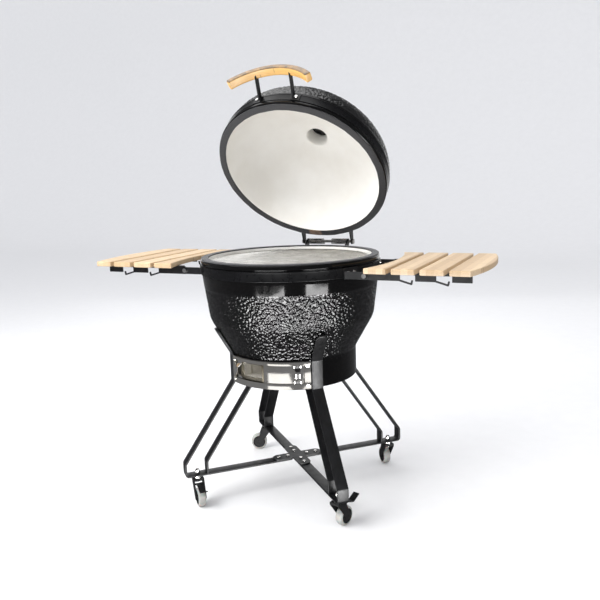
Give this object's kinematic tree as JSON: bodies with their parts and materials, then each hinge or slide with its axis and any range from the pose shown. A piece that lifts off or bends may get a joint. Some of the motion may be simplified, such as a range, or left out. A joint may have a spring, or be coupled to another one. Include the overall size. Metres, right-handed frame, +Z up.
{
  "type": "kamado ceramic grill",
  "caption": "Egg-shaped ceramic kamado grill with hinged lid held open, draft door, folding bamboo side shelves and a strap-steel cart on swivel casters",
  "frame": {"origin": "On the floor, under the vertical axis of the ceramic bowl, midway between the wheels' leg stems", "axes": "+Z up; -Y is the front, with the draft door; +Y is the back, with the lid hinge; +X is the right-hand side of someone who stands in front and looks along +Y"},
  "size_m": [1.2918, 0.6934, 1.3646],
  "materials": {
    "black_glaze": "gloss glaze",
    "cream_ceramic": "unglazed, matte",
    "felt": "matte woven felt",
    "black_steel": "satin powder coat",
    "stainless": "brushed",
    "bright_hardware": "polished",
    "cast_iron": "seasoned, matte",
    "bamboo": "oiled bamboo",
    "black_plastic": "moulded, satin",
    "grey_tread": "soft translucent tread"
  },
  "bodies": {
    "base": {"base_bowl": "black_glaze", "base_gasket": "felt", "fire_bowl": "cream_ceramic", "fire_ring": "cream_ceramic", "charcoal_grate": "cast_iron", "base_band": "black_steel", "draft_frame": "stainless", "draft_screws": "bright_hardware", "hinge_base_bracket": "black_steel", "hinge_pin": "stainless", "hinge_springs": "stainless", "base_band_screws": "bright_hardware", "leg_front_right": "black_steel", "leg_front_left": "black_steel", "leg_rear_right": "black_steel", "leg_rear_left": "black_steel", "leg_struts": "black_steel", "cross_plate": "black_steel", "cross_bolts": "bright_hardware", "caster_stems": "bright_hardware", "caster_nuts": "bright_hardware", "shelf_mounts": "black_steel", "shelf_pivots": "bright_hardware"},
    "cooking_grate": {"cooking_grate": "stainless"},
    "draft_door": {"draft_door": "stainless", "draft_door_pull": "bright_hardware"},
    "spark_screen": {"spark_screen": "stainless", "spark_screen_pull": "bright_hardware"},
    "lid": {"lid_dome": "black_glaze", "lid_gasket": "felt", "lid_band": "black_steel", "handle_posts": "black_steel", "handle_grip": "bamboo", "handle_bolts": "bright_hardware", "hinge_lid_bracket": "black_steel", "hinge_lid_screws": "bright_hardware", "vent_collar": "cast_iron", "vent_pivot": "cast_iron"},
    "vent_disc": {"vent_disc": "cast_iron", "vent_knob": "cast_iron"},
    "shelf_right": {"shelf_right_slats": "bamboo", "shelf_right_arms": "black_steel", "shelf_right_screws": "bright_hardware"},
    "shelf_left": {"shelf_left_slats": "bamboo", "shelf_left_arms": "black_steel", "shelf_left_screws": "bright_hardware"},
    "caster_front_right": {"caster_fork_front_right": "black_plastic"},
    "wheel_front_right": {"caster_wheel_front_right": "black_plastic", "caster_tyre_front_right": "grey_tread"},
    "caster_front_left": {"caster_fork_front_left": "black_plastic"},
    "wheel_front_left": {"caster_wheel_front_left": "black_plastic", "caster_tyre_front_left": "grey_tread"},
    "caster_rear_right": {"caster_fork_rear_right": "black_plastic"},
    "wheel_rear_right": {"caster_wheel_rear_right": "black_plastic", "caster_tyre_rear_right": "grey_tread"},
    "caster_rear_left": {"caster_fork_rear_left": "black_plastic"},
    "wheel_rear_left": {"caster_wheel_rear_left": "black_plastic", "caster_tyre_rear_left": "grey_tread"},
    "brake_front_right": {"brake_lever_front_right": "black_plastic"},
    "brake_front_left": {"brake_lever_front_left": "black_plastic"}
  },
  "joints": [
    {"name": "lid_hinge", "type": "hinge", "parent": "base", "child": "lid", "pos_m": [0, 0.324, 0.797], "axis": [1, 0, 0], "range_deg": [0, 48.5]},
    {"name": "vent_turn", "type": "hinge", "parent": "lid", "child": "vent_disc", "pos_m": [0, 0.29618, 1.20498], "axis": [0, 0.749, 0.6626], "range_deg": [0, 36]},
    {"name": "draft_door_slide", "type": "hinge", "parent": "base", "child": "draft_door", "pos_m": [0, 0, 0.443], "axis": [0, 0, 1], "range_deg": [-23, 0]},
    {"name": "spark_screen_slide", "type": "hinge", "parent": "base", "child": "spark_screen", "pos_m": [0, 0, 0.443], "axis": [0, 0, 1], "range_deg": [0, 23]},
    {"name": "cooking_grate_lift", "type": "slide", "parent": "base", "child": "cooking_grate", "axis": [0, 0, 1], "range_m": [0, 0.04]},
    {"name": "shelf_right_fold", "type": "hinge", "parent": "base", "child": "shelf_right", "pos_m": [0.305, 0, 0.746], "axis": [0, 1, 0], "range_deg": [0, 90]},
    {"name": "shelf_left_fold", "type": "hinge", "parent": "base", "child": "shelf_left", "pos_m": [-0.305, 0, 0.746], "axis": [0, -1, 0], "range_deg": [0, 90]},
    {"name": "caster_front_right_swivel", "type": "hinge", "parent": "base", "child": "caster_front_right", "pos_m": [0.24324, -0.24324, 0.0774], "axis": [0, 0, 1], "continuous": true},
    {"name": "wheel_front_right_spin", "type": "hinge", "parent": "caster_front_right", "child": "wheel_front_right", "pos_m": [0.25101, -0.21427, 0.03], "axis": [-0.9659, 0.2588, 0], "continuous": true},
    {"name": "caster_front_left_swivel", "type": "hinge", "parent": "base", "child": "caster_front_left", "pos_m": [-0.24324, -0.24324, 0.0774], "axis": [0, 0, 1], "continuous": true},
    {"name": "wheel_front_left_spin", "type": "hinge", "parent": "caster_front_left", "child": "wheel_front_left", "pos_m": [-0.22203, -0.26446, 0.03], "axis": [0.7071, 0.7071, 0], "continuous": true},
    {"name": "caster_rear_right_swivel", "type": "hinge", "parent": "base", "child": "caster_rear_right", "pos_m": [0.24324, 0.24324, 0.0774], "axis": [0, 0, 1], "continuous": true},
    {"name": "wheel_rear_right_spin", "type": "hinge", "parent": "caster_rear_right", "child": "wheel_rear_right", "pos_m": [0.22396, 0.26623, 0.03], "axis": [-0.766, -0.6428, 0], "continuous": true},
    {"name": "caster_rear_left_swivel", "type": "hinge", "parent": "base", "child": "caster_rear_left", "pos_m": [-0.24324, 0.24324, 0.0774], "axis": [0, 0, 1], "continuous": true},
    {"name": "wheel_rear_left_spin", "type": "hinge", "parent": "caster_rear_left", "child": "wheel_rear_left", "pos_m": [-0.27021, 0.23009, 0.03], "axis": [0.4384, -0.8988, 0], "continuous": true},
    {"name": "brake_front_right_press", "type": "hinge", "parent": "caster_front_right", "child": "brake_front_right", "pos_m": [0.24635, -0.23165, 0.067], "axis": [-0.9659, 0.2588, 0], "range_deg": [0, 14]},
    {"name": "brake_front_left_press", "type": "hinge", "parent": "caster_front_left", "child": "brake_front_left", "pos_m": [-0.23476, -0.25173, 0.067], "axis": [0.7071, 0.7071, 0], "range_deg": [0, 14]}
  ]
}
